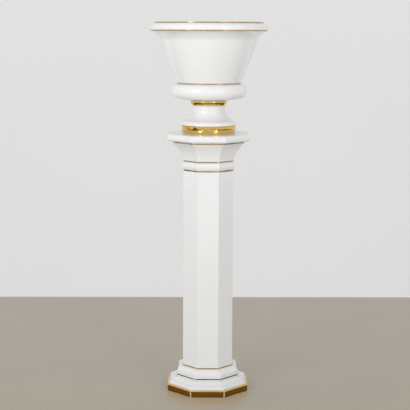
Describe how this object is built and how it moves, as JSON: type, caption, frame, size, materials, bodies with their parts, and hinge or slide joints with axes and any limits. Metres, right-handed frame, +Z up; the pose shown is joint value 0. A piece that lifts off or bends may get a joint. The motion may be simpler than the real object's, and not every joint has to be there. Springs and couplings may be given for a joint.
{
  "type": "jardiniere on stand",
  "caption": "Footed bell-shaped urn planter standing loose on a tall octagonal pedestal, in white glazed earthenware with fired gilt lines and bands",
  "frame": {"origin": "on the floor, at the middle of the pedestal's foot", "axes": "+Z up along the axis of the pedestal and urn; -Y faces the front, square to one flat of the octagon; +X to the right as seen from the front"},
  "size_m": [0.3708, 0.3708, 1.177],
  "materials": {
    "white_glaze": "glossy white glaze over slip-cast earthenware",
    "gold_lustre": "fired gold lustre, mirror bright, hand lined"
  },
  "bodies": {
    "pedestal": {"pedestal_plinth": "white_glaze", "pedestal_shaft": "white_glaze", "pedestal_capital": "white_glaze", "plinth_gilt_band": "gold_lustre", "plinth_gilt_line": "gold_lustre", "shaft_gilt_line": "gold_lustre", "astragal_lower_gilt_line": "gold_lustre", "astragal_upper_gilt_line": "gold_lustre", "capital_gilt_line": "gold_lustre"},
    "urn": {"urn_foot": "white_glaze", "urn_bowl": "white_glaze", "foot_gilt_band": "gold_lustre", "collar_gilt_band": "gold_lustre", "waist_gilt_line": "gold_lustre", "rim_gilt_line": "gold_lustre", "lip_gilt_line": "gold_lustre"}
  },
  "joints": [
    {"name": "urn_lift", "type": "slide", "parent": "pedestal", "child": "urn", "axis": [0, 0, 1], "range_m": [0, 0.15]}
  ]
}
